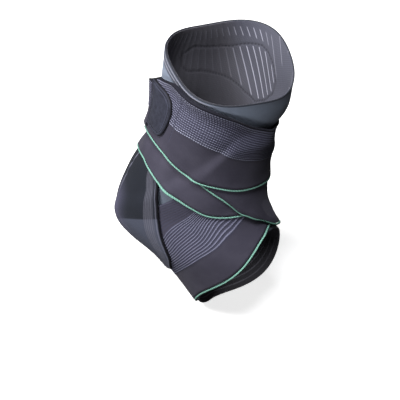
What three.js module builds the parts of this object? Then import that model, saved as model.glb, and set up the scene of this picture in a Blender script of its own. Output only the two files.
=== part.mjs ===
import * as THREE from 'three';

// Ankle brace: a soft sleeve bent round the ankle, with one elastic strap wound round it.
// Millimetres. +Z runs up the leg, +X to the toes, -Y is the outer side of the ankle.
// The origin is the centre of the ankle joint, inside the hollow.

// Sizes of the sleeve
const legRise = 109.5; // back of the collar above the ankle centre
const instepReach = 53.5; // instep end of the foot rim in front of the ankle centre
const heelReach = 54.5; // heel behind the ankle centre
const soleDrop = 78.8; // sole end of the foot rim below the ankle centre
const braceWidth = 79; // across the collar, side to side
const rimScoop = 10; // how far the side of the foot rim bows out of its plane
const shellWall = 1.4; // smooth outer fabric
const liningWall = 1.3; // knit inside
const fabricGap = 0.4; // between shell and lining

// Sizes of the heel panel
const panelWall = 1.2;
const hemRise = 1; // extra thickness of the rolled hem
const hemWidth = 3.2;
const panelGap = 0.5; // between the panel and what it lies on

// Sizes of the strap, its edge and its end tab
const strapWidth = 52.5;
const strapWall = 1.1;
const strapGap = 0.8; // between the strap and what it lies on
const edgeWidth = 1.5; // coloured edge along the lower border
const edgeGap = 0.45;
const tabWall = 2.2;
const tabLength = 27; // from the end of the strap to the round tip
const tabGap = 0.3; // between the end of the strap and the tab
const rimMargin = 0.9; // the strap stays this far inside the rims
const tuckDepth = 2; // how far a turn's upper border stays below that of the next turn

// How a layer climbs over the edge of the one below
const climbStart = 7.5; // full height is kept this far past the edge
const climbRun = 8; // and is lost over this length

// Colours
const navy = 0x4b4f5e;
const black = 0x2a2a31;
const charcoal = 0x3f414c;
const plum = 0x57566a;
const mint = 0x86c9b0;
const slate = 0x4e505d;

// Sections of the sleeve's outer face, from the collar to the foot rim, as shares of the sizes
// above. Each is an oval from its front point to its back point, half as wide as 'wide' says.
// near and far are the outer and inner sides: dip bows that side towards the toes, lean moves
// the bow to the front, corner squares the oval and shift moves it to the inner side.
const columns = ['frontOut', 'frontUp', 'backOut', 'backUp', 'backDown', 'wide',
  'nearDip', 'farDip', 'nearLean', 'farLean', 'corner', 'shift'];
const sections = [
  [0.682, 0.95, 0.715, 1.0, 0, 1.0, 0.19, -0.96, -0.12, -0.74, 0.05, -0.13],
  [0.69, 0.822, 0.72, 0.785, 0, 0.88, 0, 0, 0, 0, 0.06, 0.05],
  [0.573, 0.603, 0.65, 0.53, 0, 0.84, 0, 0, 0, 0, 0.02, 0],
  [0.583, 0.411, 0.745, 0.292, 0, 0.82, 0, 0, 0, 0, 0, 0],
  [0.651, 0.285, 0.89, 0.037, 0, 0.875, 0, 0, 0, 0, 0, 0],
  [0.717, 0.2, 0.965, 0, 0.355, 0.84, 0, 0, 0, 0, 0, 0],
  [0.772, 0.148, 0.775, 0.015, 0.548, 0.825, 0, 0.45, 0.1, 0.05, 0, 0],
  [0.847, 0.096, 0.24, 0, 0.625, 0.77, 0.5, 1.1, 0.6, 0.4, 0, 0.15],
  [1.0, 0.04, -0.484, 0, 1.0, 0.648, 0.15, 1.12, 1.25, -0.72, 0, 0.62],
].map((row) => Object.fromEntries(row.map((value, i) => [columns[i], value])));
const cornerTurn = -18; // degrees from the front to the first squared corner

// Lower border of the strap: degrees wound from its start, and the level it has there.
// A level counts the sections, 0 at the collar and 8 at the foot rim.
const strapStart = 222; // degrees round from the front, over the outer side to the sole
const strapPath = [
  [0, 7.6], [42, 7.85], [78, 7.96], [129, 7.98], [180, 7.98], [205, 7.96], [223, 7.75],
  [262, 7.2], [302, 6.2], [330, 5.3], [360, 4.5], [400, 3.8], [425, 3.4], [455, 3.22],
  [473, 3.33], [495, 3.7], [510, 4.0], [523, 4.35], [533, 4.73], [545, 5.1], [555, 5.38],
  [566, 5.62], [600, 5.95], [640, 5.7], [680, 4.9], [720, 3.9], [760, 2.95], [800, 2.35],
  [830, 2.2], [855, 2.45], [876, 2.93], [898, 3.6], [913, 4.3], [925, 5.55], [936, 6.68],
  [945, 7.6], [955, 7.93], [975, 7.7], [1000, 7.0], [1035, 5.8], [1070, 4.75], [1110, 3.7],
  [1145, 2.95], [1172, 2.5], [1198, 2.48], [1211, 2.62], [1232, 2.9], [1257, 3.18],
  [1278, 3.48], [1295, 3.65], [1326, 3.95], [1365, 3.95], [1405, 3.7], [1450, 3.25],
  [1490, 2.8], [1525, 2.38], [1570, 2.2],
];
// Width left in the strap as it is wound: degrees wound, and share of the named width
const strapSpread = [
  [0, 1.2], [100, 1.32], [133, 1.39], [147, 1.41], [175, 1.4], [200, 1.3], [240, 1.14],
  [300, 1.04], [420, 1], [1130, 1], [1167, 0.86], [1194, 1.04], [1218, 1.12], [1236, 1.17],
  [1250, 1.1], [1264, 1], [1286, 0.95], [1318, 0.88], [1400, 0.84], [1460, 0.76],
  [1500, 0.69], [1521, 0.69], [1545, 0.73], [1570, 0.74],
];
const strapEnd = 1521; // degrees wound where the tab takes over
const panelAfter = 242; // what is wound before this lies under the heel panel

// Hem of the heel panel on the outer side, mirrored on the inner side: level and degrees
const hemPath = [
  [3.1, 99], [3.5, 96], [4.0, 90], [4.65, 84], [5.5, 82], [6.25, 88], [6.88, 103], [7.25, 121],
];

// Round tip of the tab: share of its length, and share of the strap's width that is left
const tabShape = [[0, 0.97], [0.3, 0.98], [0.55, 0.95], [0.75, 0.85], [0.9, 0.66], [1, 0.34]];

// Facets
const sides = 28; // round the leg
const rows = 22; // along the sleeve
const strapRows = 7; // across the strap
const steepRun = 8.3; // a step that climbs more than this is halved
const panelRows = 13;
const tabRows = 6;
const tabSteps = 7;

const step = 360 / sides;
const rad = Math.PI / 180;
const last = sections.length - 1;

// Smooth curve through a table of [place, value] rows
function along(table, x) {
  const n = table.length - 1;
  let i = 0;
  while (i < n - 1 && x > table[i + 1][0]) i += 1;
  const [x0, y0] = table[i];
  const [x1, y1] = table[i + 1];
  const slope = (y1 - y0) / (x1 - x0);
  const before = i > 0 ? (y1 - table[i - 1][1]) / (x1 - table[i - 1][0]) : slope;
  const after = i < n - 1 ? (table[i + 2][1] - y0) / (table[i + 2][0] - x0) : slope;
  const t = Math.min(1, Math.max(0, (x - x0) / (x1 - x0)));
  const run = x1 - x0;
  return y0 * (1 + 2 * t) * (1 - t) ** 2 + y1 * t * t * (3 - 2 * t)
    + run * (before * t * (1 - t) ** 2 - after * t * t * (1 - t));
}

const clamp = (x) => Math.min(1, Math.max(0, x));
const ease = (x) => clamp(x) ** 2 * (3 - 2 * clamp(x));
const wrap = (angle) => ((angle % 360) + 360) % 360;

// One column of the sections at any level
function sectionValue(name, level) {
  const i = Math.min(last - 1, Math.max(0, Math.floor(level)));
  const t = level - i;
  const at = (k) => sections[k][name];
  const p1 = at(i);
  const p2 = at(i + 1);
  const p0 = i > 0 ? at(i - 1) : 2 * p1 - p2;
  const p3 = i < last - 1 ? at(i + 2) : 2 * p2 - p1;
  return 0.5 * (2 * p1 + (p2 - p0) * t + (2 * p0 - 5 * p1 + 4 * p2 - p3) * t * t
    + (3 * p1 - p0 - 3 * p2 + p3) * t * t * t);
}

// Point on the sleeve's outer face
function facePoint(angle, level) {
  const value = (name) => sectionValue(name, level);
  const frontX = instepReach * value('frontOut');
  const frontZ = legRise * value('frontUp');
  const backX = -heelReach * value('backOut');
  const backZ = legRise * value('backUp') - soleDrop * value('backDown');
  const halfX = (frontX - backX) / 2;
  const halfZ = (frontZ - backZ) / 2;
  const size = Math.hypot(halfX, halfZ);
  const a = angle * rad;
  const square = 1 + value('corner') * Math.cos(4 * (a - cornerTurn * rad));
  const c = Math.cos(a) * square;
  const s = Math.sin(a) * square;
  const dip = s > 0 ? value('nearDip') : value('farDip');
  const lean = s > 0 ? value('nearLean') : value('farLean');
  const bow = rimScoop * (dip + lean * Math.cos(a)) * Math.sin(a) ** 2;
  return new THREE.Vector3(
    (frontX + backX) / 2 + halfX * c + (halfZ / size) * bow,
    (-braceWidth / 2) * value('wide') * s + rimScoop * value('shift'),
    (frontZ + backZ) / 2 + halfZ * c - (halfX / size) * bow,
  );
}

// Outward direction on the sleeve's outer face
function faceNormal(angle, level) {
  const d = 0.02;
  const up = Math.max(0, level - d);
  const down = Math.min(last, level + d);
  const round = facePoint(angle + 1, level).sub(facePoint(angle - 1, level));
  const ahead = facePoint(angle, down).sub(facePoint(angle, up));
  return round.cross(ahead).normalize();
}

function lifted(angle, level, height) {
  return facePoint(angle, level).addScaledVector(faceNormal(angle, level), height);
}

// Lengths along the face from the collar, for one angle
const fine = 160;
const meridians = new Map();
function meridian(angle) {
  const key = Math.round(wrap(angle) * 1000);
  if (!meridians.has(key)) {
    const lengths = [0];
    let from = facePoint(angle, 0);
    for (let i = 1; i <= fine; i += 1) {
      const to = facePoint(angle, (last * i) / fine);
      lengths.push(lengths[i - 1] + to.distanceTo(from));
      from = to;
    }
    meridians.set(key, lengths);
  }
  return meridians.get(key);
}

function lengthAt(angle, level) {
  const lengths = meridian(angle);
  const x = Math.min(fine - 1e-6, Math.max(0, (level / last) * fine));
  const i = Math.floor(x);
  return lengths[i] + (lengths[i + 1] - lengths[i]) * (x - i);
}

function levelAt(angle, length) {
  const lengths = meridian(angle);
  let i = 0;
  while (i < fine - 1 && lengths[i + 1] < length) i += 1;
  const share = (length - lengths[i]) / (lengths[i + 1] - lengths[i]);
  return (Math.min(fine, Math.max(0, i + share)) / fine) * last;
}

// Borders of the strap where it is wound so far, as lengths from the collar
const borders = new Map();
function strapBorders(turned) {
  const key = Math.round(turned * 1000);
  if (!borders.has(key)) {
    const angle = strapStart - turned;
    const end = meridian(angle)[fine];
    const low = Math.min(lengthAt(angle, along(strapPath, turned)), end - rimMargin);
    const point = (t) => facePoint(strapStart - t, along(strapPath, t));
    const lastTurned = strapPath[strapPath.length - 1][0];
    const from = Math.max(0, turned - 16);
    const to = Math.min(lastTurned, turned + 16);
    const run = point(to).sub(point(from)).normalize();
    const middle = levelAt(angle, low - strapWidth / 2);
    const across = facePoint(angle, levelAt(angle, low - strapWidth * 0.75))
      .sub(facePoint(angle, Math.min(last, middle + 0.4))).normalize();
    const skew = Math.max(0.72, run.cross(across).length());
    let high = Math.max(low - (strapWidth * along(strapSpread, turned)) / skew, rimMargin);
    // Each turn keeps its upper border below that of the turn over it
    if (turned + 360 <= strapEnd) high = Math.max(high, strapBorders(turned + 360).high + tuckDepth);
    borders.set(key, { low, high });
  }
  return borders.get(key);
}

// How much of a layer below counts at a length, 1 over it and 0 well past its edges
function over(length, low, high) {
  return ease((length - high + climbStart + climbRun) / climbRun)
    * ease((low + climbStart + climbRun - length) / climbRun);
}

// The same for the strap, with half a step either way, so that steep borders are cleared too
function strapOver(turned, length) {
  return Math.max(...[-step / 2, 0, step / 2].map((aside) => {
    const { low, high } = strapBorders(Math.max(0, turned + aside));
    return over(length, low, high);
  }));
}

// How much the heel panel lifts what crosses it
const panelTop = hemPath[0][0];
const panelEnd = hemPath[hemPath.length - 1][0];
function panelRise(angle, length) {
  const level = levelAt(angle, length);
  const hem = along(hemPath, Math.min(panelEnd, Math.max(panelTop, level)));
  const past = (Math.abs(wrap(angle) - 180) - (180 - hem)) * rad * (braceWidth / 2);
  const above = Math.max(0, lengthAt(angle, panelTop) - length);
  const below = Math.max(0, length - lengthAt(angle, panelEnd));
  const away = Math.hypot(Math.max(0, past), above, below);
  const beside = Math.hypot(Math.max(past, -past - hemWidth, 0), above, below);
  return (panelWall + panelGap) * ease((climbStart + climbRun - away) / climbRun)
    + hemRise * ease((climbStart + climbRun - beside) / climbRun);
}

const pitch = strapWall + strapGap;

// Height of the underside of what is wound so far
function strapHeight(turned, length) {
  const angle = strapStart - turned;
  let height = strapGap;
  for (let below = turned - 360; below > -40; below -= 360) {
    height += pitch * strapOver(below, length) * ease((below + 34) / 22);
  }
  if (turned > panelAfter) height += panelRise(angle, length);
  return height;
}

// Height of the underside of the heel panel
function panelHeight(angle, length) {
  const turned = strapStart - wrap(angle);
  const count = turned > panelAfter ? 0 : ease((turned + 34) / 22);
  return panelGap + pitch * strapOver(turned, length) * count;
}

// Closed mesh from corners and triangles
function solid(name, points, faces, color) {
  const geometry = new THREE.BufferGeometry();
  geometry.setAttribute('position',
    new THREE.Float32BufferAttribute(points.flatMap((p) => [p.x, p.y, p.z]), 3));
  geometry.setIndex(faces.flat());
  geometry.computeVertexNormals();
  const material = new THREE.MeshStandardMaterial({ color, roughness: 0.85 });
  const mesh = new THREE.Mesh(geometry, material);
  mesh.name = name;
  return mesh;
}

// Quads between rings of points; a ring closes on itself, and the rings join or are capped
function sweep(name, rings, closed, color) {
  const n = rings[0].length;
  const count = rings.length;
  const flat = rings.flat();
  const faces = [];
  for (let i = 0; i < (closed ? count : count - 1); i += 1) {
    const next = ((i + 1) % count) * n;
    for (let j = 0; j < n; j += 1) {
      const a = i * n + j;
      const b = i * n + ((j + 1) % n);
      const c = next + ((j + 1) % n);
      const d = next + j;
      if (flat[a].distanceTo(flat[c]) < flat[b].distanceTo(flat[d])) {
        faces.push([a, b, c], [a, c, d]);
      } else {
        faces.push([a, b, d], [b, c, d]);
      }
    }
  }
  if (!closed) {
    // Cap of a flat ring: its first half runs out along one face and its second half back
    const end = (count - 1) * n;
    for (let j = 0; j < n / 2 - 1; j += 1) {
      const k = n - 1 - j;
      faces.push([j, k, k - 1], [j, k - 1, j + 1]);
      faces.push([end + j, end + k - 1, end + k], [end + j, end + j + 1, end + k - 1]);
    }
  }
  return solid(name, flat, faces, color);
}

// Sleeve wall between two depths, as rings of one angle each
function wall(name, top, bottom, color) {
  const rings = [];
  for (let i = 0; i < sides; i += 1) {
    const angle = i * step;
    const ring = [];
    for (let j = 0; j <= rows; j += 1) ring.push(lifted(angle, (last * j) / rows, bottom));
    for (let j = rows; j >= 0; j -= 1) ring.push(lifted(angle, (last * j) / rows, top));
    rings.push(ring);
  }
  return sweep(name, rings, true, color);
}

// Places along the strap: its two ends, each angle where the sleeve has a corner, and one
// between them where the strap runs steeply
function strapPlaces(from, to) {
  const places = [from];
  const first = strapStart - step * Math.floor((strapStart - from) / step - 0.3);
  for (let t = first; t < to - 0.3 * step; t += step) {
    const climb = strapBorders(Math.min(strapEnd, t + step)).low - strapBorders(t).low;
    places.push(t);
    if (Math.abs(climb) > steepRun && t + step < to) places.push(t + step / 2);
  }
  places.push(to);
  return places;
}

// Ring across the strap, underside first
function strapRing(turned, low, high, count, thickness, rise) {
  const angle = strapStart - turned;
  const under = [];
  const upper = [];
  for (let j = 0; j <= count; j += 1) {
    const length = low + ((high - low) * j) / count;
    const height = rise(turned, length);
    const level = levelAt(angle, length);
    under.push(lifted(angle, level, height));
    upper.push(lifted(angle, level, height + thickness));
  }
  return under.concat(upper.reverse());
}

function makeStrap() {
  const rings = strapPlaces(0, strapEnd).map((turned) => {
    const { low, high } = strapBorders(turned);
    return strapRing(turned, low - edgeWidth - edgeGap, high, strapRows, strapWall, strapHeight);
  });
  return sweep('strap', rings, false, plum);
}

function makeStrapEdge() {
  const rings = strapPlaces(0, strapEnd).map((turned) => {
    const { low } = strapBorders(turned);
    return strapRing(turned, low, low - edgeWidth, 1, strapWall, strapHeight);
  });
  return sweep('strap_edge', rings, false, mint);
}

// The tab goes on where the strap ends, and narrows to its round tip
function makeTab() {
  const reach = braceWidth / 2;
  const from = strapEnd + tabGap / reach / rad;
  const degrees = tabLength / reach / rad;
  const rings = [];
  for (let i = 0; i <= tabSteps; i += 1) {
    const share = i / tabSteps;
    const turned = from + degrees * share;
    const { low, high } = strapBorders(turned);
    const middle = (low + high) / 2;
    const half = ((low - high) / 2) * along(tabShape, share);
    rings.push(strapRing(turned, middle + half, middle - half, tabRows, tabWall, strapHeight));
  }
  return sweep('hook_tab', rings, false, slate);
}

// The panel crosses the heel from hem to hem, with its hems thicker
function makePanel() {
  const rings = [];
  for (let i = 0; i <= panelRows; i += 1) {
    const level = panelTop + ((panelEnd - panelTop) * i) / panelRows;
    const hem = along(hemPath, level);
    const hemTurn = hemWidth / (braceWidth / 2) / rad;
    const angles = [hem, hem + hemTurn];
    for (let k = 0; k <= sides; k += 1) {
      const angle = k * step;
      if (angle > hem + hemTurn + 3 && angle < 360 - hem - hemTurn - 3) angles.push(angle);
    }
    angles.push(360 - hem - hemTurn, 360 - hem);
    rings.push({ level, angles });
  }
  const count = Math.max(...rings.map((row) => row.angles.length));
  const built = rings.map(({ level, angles }) => {
    const under = [];
    const upper = [];
    const inner = angles.slice(1, -1);
    for (let k = 0; k < count; k += 1) {
      let angle = angles[0];
      if (k === count - 1) angle = angles[angles.length - 1];
      else if (k > 0) {
        const x = ((k - 1) / (count - 3)) * (inner.length - 1);
        const m = Math.min(inner.length - 2, Math.floor(x));
        angle = inner[m] + (inner[m + 1] - inner[m]) * (x - m);
      }
      const height = panelHeight(angle, lengthAt(angle, level));
      const rim = k === 0 || k === count - 1 ? hemRise : 0;
      under.push(lifted(angle, level, height));
      upper.push(lifted(angle, level, height + panelWall + rim));
    }
    return upper.concat(under.reverse());
  });
  return sweep('heel_panel', built, false, charcoal);
}

const brace = new THREE.Group();
brace.name = 'ankle_brace';
const liningTop = -shellWall - fabricGap;
brace.add(wall('sleeve_shell', 0, -shellWall, navy));
brace.add(wall('knit_lining', liningTop, liningTop - liningWall, black));
brace.add(makePanel(), makeStrap(), makeStrapEdge(), makeTab());

export default brace;
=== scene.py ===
"""Ankle brace: a soft sleeve with a knit lining, a heel panel, and a strap wound round them.

Lengths are in millimetres until a mesh is made. +Z runs up the leg, +X to the toes, and -Y is
the outer side of the ankle. An angle counts degrees round the leg from the instep over the
outer side, and a level counts the sections, 0 at the collar and 8 at the foot rim.
"""

import logging
import math
from dataclasses import astuple, dataclass, field, fields
from enum import Enum
from typing import Optional, Sequence, Union

import bpy
import numpy as np
from mathutils import Matrix, Vector


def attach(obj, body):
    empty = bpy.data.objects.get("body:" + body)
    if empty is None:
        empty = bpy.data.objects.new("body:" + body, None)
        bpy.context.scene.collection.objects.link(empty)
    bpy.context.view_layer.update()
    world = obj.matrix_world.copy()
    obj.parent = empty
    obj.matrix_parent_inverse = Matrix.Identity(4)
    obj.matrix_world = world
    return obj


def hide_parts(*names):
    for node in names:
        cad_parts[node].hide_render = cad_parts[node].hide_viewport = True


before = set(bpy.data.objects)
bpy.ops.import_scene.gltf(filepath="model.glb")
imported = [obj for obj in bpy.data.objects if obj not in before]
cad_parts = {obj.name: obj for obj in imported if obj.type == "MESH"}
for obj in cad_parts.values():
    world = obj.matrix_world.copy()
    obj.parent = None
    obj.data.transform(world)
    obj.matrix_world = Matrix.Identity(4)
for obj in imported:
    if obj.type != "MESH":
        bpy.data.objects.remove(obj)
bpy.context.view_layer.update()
log = logging.getLogger("ankle_brace")

MM = 0.001
RAD = math.pi / 180
Array = np.ndarray
Number = Union[float, Array]
Rows = tuple[tuple[float, float], ...]


def along(table: Rows, x: Number) -> Array:
    """Follow a smooth curve through a table.

    Args:
        table: Rows of place and value.
        x: The places asked for.

    Returns:
        The values there; outside the table, the value at its end.
    """
    places, values = np.array(table, float).T
    run = np.diff(places)
    slopes = np.diff(values) / run
    inner = (values[2:] - values[:-2]) / (places[2:] - places[:-2])
    slopes = np.concatenate([slopes[:1], inner, slopes[-1:]])
    x = np.clip(np.asarray(x, float), places[0], places[-1])
    i = np.clip(np.searchsorted(places, x, side="right") - 1, 0, len(run) - 1)
    t = (x - places[i]) / run[i]
    rise = slopes[i] * t * (1 - t) ** 2 - slopes[i + 1] * t * t * (1 - t)
    keep = values[i] * (1 + 2 * t) * (1 - t) ** 2 + values[i + 1] * t * t * (3 - 2 * t)
    return keep + run[i] * rise


def ease(x: Number) -> Array:
    """Rise smoothly from 0 to 1 while x does."""
    x = np.clip(x, 0, 1)
    return x * x * (3 - 2 * x)


def hump(x: Number, middle: float, half: float) -> Array:
    """Give a round ridge of height 1 about a middle, 0 beyond half its width."""
    return np.sqrt(np.clip(1 - ((np.asarray(x, float) - middle) / half) ** 2, 0, 1))


def softened(values: Array, spread: float) -> Array:
    """Smooth a row of values.

    Args:
        values: Evenly spaced values.
        spread: Width of the smoothing, in steps.

    Returns:
        The smoothed values, as many as before.
    """
    reach = int(4 * spread) + 1
    weights = np.exp(-0.5 * (np.arange(-reach, reach + 1) / spread) ** 2)
    padded = np.pad(values, reach, mode="edge")
    return np.convolve(padded, weights / weights.sum(), mode="valid")


@dataclass(frozen=True)
class Section:
    """One oval through the sleeve's outer face, as shares of the named sizes.

    near is the outer side and far the inner side: dip bows that side to the toes, lean moves
    the bow to the front, corner squares the oval and shift moves it to the inner side.
    """

    front_out: float
    front_up: float
    back_out: float
    back_up: float
    back_down: float
    wide: float
    near_dip: float = 0
    far_dip: float = 0
    near_lean: float = 0
    far_lean: float = 0
    corner: float = 0
    shift: float = 0


@dataclass(frozen=True)
class Press:
    """A place where the layers lie tighter.

    Its angle and its length from the collar, how far it reaches each way, and the share of the
    height that it takes away.
    """

    angle: float
    length: float
    angle_reach: float
    length_reach: float
    share: float


@dataclass
class AnkleForm:
    """The outer face of the sleeve, which every other layer is laid on."""

    leg_rise: float = 109.5
    instep_reach: float = 53.5
    heel_reach: float = 54.5
    sole_drop: float = 78.8
    brace_width: float = 79.0
    rim_scoop: float = 10.0
    corner_turn: float = -18.0
    sections: tuple[Section, ...] = (
        Section(0.682, 0.95, 0.715, 1.0, 0, 1.0, 0.19, -0.96, -0.12, -0.74, 0.05, -0.13),
        Section(0.69, 0.822, 0.72, 0.785, 0, 0.88, corner=0.06, shift=0.05),
        Section(0.573, 0.603, 0.65, 0.53, 0, 0.84, corner=0.02),
        Section(0.583, 0.411, 0.745, 0.292, 0, 0.82),
        Section(0.651, 0.285, 0.89, 0.037, 0, 0.875),
        Section(0.717, 0.2, 0.965, 0, 0.355, 0.84),
        Section(0.772, 0.148, 0.775, 0.015, 0.548, 0.825, 0, 0.45, 0.1, 0.05),
        Section(0.847, 0.096, 0.24, 0, 0.625, 0.77, 0.5, 1.1, 0.6, 0.4, 0, 0.15),
        Section(1.0, 0.04, -0.484, 0, 1.0, 0.648, 0.15, 1.12, 1.25, -0.72, 0, 0.62),
    )
    presses: tuple[Press, ...] = (Press(161, 75, 24, 12, 0.5),)
    fine: int = 320

    def __post_init__(self) -> None:
        """Measure the lengths along the face from the collar, for every whole angle."""
        self.columns = {f.name: i for i, f in enumerate(fields(Section))}
        self.table = np.array([astuple(s) for s in self.sections])
        self.last = len(self.sections) - 1
        self.steps = np.linspace(0, self.last, self.fine + 1)
        grid = self.point(np.arange(361.0)[:, None], self.steps[None, :])
        parts = np.linalg.norm(np.diff(grid, axis=1), axis=2)
        self.lengths = np.concatenate([np.zeros((361, 1)), np.cumsum(parts, axis=1)], axis=1)

    def value(self, name: str, level: Array) -> Array:
        """Read one column of the sections at any level.

        Args:
            name: The column's name.
            level: Places among the sections.

        Returns:
            The values there, on a smooth curve.
        """
        column = self.table[:, self.columns[name]]
        ends = [2 * column[0] - column[1]], [2 * column[-1] - column[-2]]
        padded = np.concatenate([ends[0], column, ends[1]])
        i = np.clip(np.floor(level).astype(int), 0, self.last - 1)
        t = level - i
        p0, p1, p2, p3 = (padded[i + k] for k in range(4))
        return 0.5 * (
            2 * p1
            + (p2 - p0) * t
            + (2 * p0 - 5 * p1 + 4 * p2 - p3) * t * t
            + (3 * p1 - p0 - 3 * p2 + p3) * t**3
        )

    def point(self, angle: Number, level: Number) -> Array:
        """Find points on the sleeve's outer face.

        Args:
            angle: Degrees round the leg.
            level: Place among the sections.

        Returns:
            The points, with x, y and z last.
        """
        angle, level = np.broadcast_arrays(np.asarray(angle, float), np.asarray(level, float))
        front_x = self.instep_reach * self.value("front_out", level)
        front_z = self.leg_rise * self.value("front_up", level)
        back_x = -self.heel_reach * self.value("back_out", level)
        back_z = self.leg_rise * self.value("back_up", level)
        back_z = back_z - self.sole_drop * self.value("back_down", level)
        half_x, half_z = (front_x - back_x) / 2, (front_z - back_z) / 2
        size = np.hypot(half_x, half_z)
        a = angle * RAD
        square = 1 + self.value("corner", level) * np.cos(4 * (a - self.corner_turn * RAD))
        c, s = np.cos(a) * square, np.sin(a) * square
        near = s > 0
        dip = np.where(near, self.value("near_dip", level), self.value("far_dip", level))
        lean = np.where(near, self.value("near_lean", level), self.value("far_lean", level))
        bow = self.rim_scoop * (dip + lean * np.cos(a)) * np.sin(a) ** 2
        across = self.value("wide", level) * s * -self.brace_width / 2
        return np.stack(
            [
                (front_x + back_x) / 2 + half_x * c + half_z / size * bow,
                across + self.rim_scoop * self.value("shift", level),
                (front_z + back_z) / 2 + half_z * c - half_x / size * bow,
            ],
            axis=-1,
        )

    def directions(self, angle: Array, level: Array) -> tuple[Array, Array]:
        """Find the face's outward direction and the direction towards the foot rim.

        Args:
            angle: Degrees round the leg.
            level: Place among the sections.

        Returns:
            Unit vectors out of the face, and along it to the foot rim.
        """
        up, down = np.maximum(level - 0.02, 0), np.minimum(level + 0.02, self.last)
        turn = self.point(angle + 1, level) - self.point(angle - 1, level)
        ahead = self.point(angle, down) - self.point(angle, up)
        out = np.cross(turn, ahead)
        return (
            out / np.linalg.norm(out, axis=-1, keepdims=True),
            ahead / np.linalg.norm(ahead, axis=-1, keepdims=True),
        )

    def _column(self, angle: Array) -> tuple[Array, Array]:
        """Find the measured angle below each angle, and how far past it that is.

        Args:
            angle: Degrees round the leg.

        Returns:
            The whole angle below, and the rest.
        """
        turned = np.mod(angle, 360.0)
        i = np.minimum(turned.astype(int), 359)
        return i, turned - i

    def length_at(self, angle: Number, level: Number) -> Array:
        """Measure from the collar to a level, along the face.

        Args:
            angle: Degrees round the leg.
            level: Place among the sections.

        Returns:
            The lengths.
        """
        angle, level = np.broadcast_arrays(np.asarray(angle, float), np.asarray(level, float))
        i, f = self._column(angle)
        x = np.clip(level / self.last * self.fine, 0, self.fine - 1e-6)
        k = x.astype(int)
        t = x - k
        lower = self.lengths[i, k] * (1 - t) + self.lengths[i, k + 1] * t
        upper = self.lengths[i + 1, k] * (1 - t) + self.lengths[i + 1, k + 1] * t
        return lower * (1 - f) + upper * f

    def level_at(self, angle: Number, length: Number) -> Array:
        """Find the level at a length from the collar, along the face.

        Args:
            angle: Degrees round the leg.
            length: Length from the collar.

        Returns:
            The places among the sections.
        """
        angle, length = np.broadcast_arrays(np.asarray(angle, float), np.asarray(length, float))
        low, high = np.zeros(angle.shape), np.full(angle.shape, float(self.last))
        for _ in range(18):
            middle = (low + high) / 2
            short = self.length_at(angle, middle) < length
            low, high = np.where(short, middle, low), np.where(short, high, middle)
        return (low + high) / 2

    def total(self, angle: Number) -> Array:
        """Measure the whole face at an angle, from the collar to the foot rim."""
        return self.length_at(angle, self.last)

    def place(self, angle: Number, length: Number, height: Number) -> Array:
        """Find points by their length from the collar and their height over the face.

        Args:
            angle: Degrees round the leg.
            length: Length along the face from the collar; beyond the rims it runs straight on.
            height: Height over the face, below 0 inside it.

        Returns:
            The points, with x, y and z last.
        """
        angle, length, height = np.broadcast_arrays(
            *(np.asarray(v, float) for v in (angle, length, height))
        )
        kept = np.clip(length, 0, self.total(angle))
        level = self.level_at(angle, kept)
        out, ahead = self.directions(angle, level)
        beyond = (length - kept)[..., None]
        height = np.where(height > 0, height * self.tightness(angle, length), height)
        return self.point(angle, level) + out * height[..., None] + ahead * beyond

    def tightness(self, angle: Array, length: Array) -> Array:
        """Find the share of their height that the layers keep.

        Args:
            angle: Degrees round the leg.
            length: Length from the collar.

        Returns:
            The shares, 1 away from every press.
        """
        keep = np.ones(angle.shape)
        for press in self.presses:
            x = (np.mod(angle - press.angle + 180, 360) - 180) / press.angle_reach
            y = (length - press.length) / press.length_reach
            keep -= press.share * ease(1 - np.hypot(x, y))
        return keep


class Signal:
    """One number socket of a material, on which sums add their Math nodes."""

    def __init__(self, graph: "Graph", socket: bpy.types.NodeSocket) -> None:
        """Keep the graph and the socket that the number comes from."""
        self.graph = graph
        self.socket = socket

    def math(self, operation: str, *others: Union["Signal", float], swap: bool = False) -> "Signal":
        """Add one Math node.

        Args:
            operation: The node's operation.
            others: Further values.
            swap: Whether this value comes second.

        Returns:
            The node's result.
        """
        values = [self, *others]
        if swap:
            values.reverse()
        made = self.graph.node("ShaderNodeMath", {"operation": operation}, dict(enumerate(values)))
        return Signal(self.graph, made.outputs[0])

    def __add__(self, other: Union["Signal", float]) -> "Signal":
        """Add."""
        return self.math("ADD", other)

    def __radd__(self, other: float) -> "Signal":
        """Add to a number."""
        return self.math("ADD", other)

    def __sub__(self, other: Union["Signal", float]) -> "Signal":
        """Subtract."""
        return self.math("SUBTRACT", other)

    def __rsub__(self, other: float) -> "Signal":
        """Subtract from a number."""
        return self.math("SUBTRACT", other, swap=True)

    def __mul__(self, other: Union["Signal", float]) -> "Signal":
        """Multiply."""
        return self.math("MULTIPLY", other)

    def __rmul__(self, other: float) -> "Signal":
        """Multiply a number."""
        return self.math("MULTIPLY", other)

    def __truediv__(self, other: Union["Signal", float]) -> "Signal":
        """Divide."""
        return self.math("DIVIDE", other)

    def wave(self, period: float, shift: Union["Signal", float] = 0.0) -> "Signal":
        """Give a wave from 0 to 1 that is 0 at each whole period, moved on by a share of it."""
        turned = (self / period + shift) * (2 * math.pi)
        return 0.5 - 0.5 * turned.math("COSINE")

    def size(self) -> "Signal":
        """Drop the sign."""
        return self.math("ABSOLUTE")

    def most(self, other: Union["Signal", float]) -> "Signal":
        """Take the larger value."""
        return self.math("MAXIMUM", other)

    def rising(self, start: float, end: float) -> "Signal":
        """Rise smoothly from 0 at start to 1 at end."""
        made = self.graph.node(
            "ShaderNodeMapRange",
            {"interpolation_type": "SMOOTHSTEP"},
            {"Value": self, "From Min": start, "From Max": end},
        )
        return Signal(self.graph, made.outputs[0])

    def band(self, start: float, end: float, soft: float) -> "Signal":
        """Give 1 between two values and 0 outside, with soft borders."""
        enter = self.rising(start - soft, start + soft)
        return enter * (1 - self.rising(end - soft, end + soft))


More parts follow.
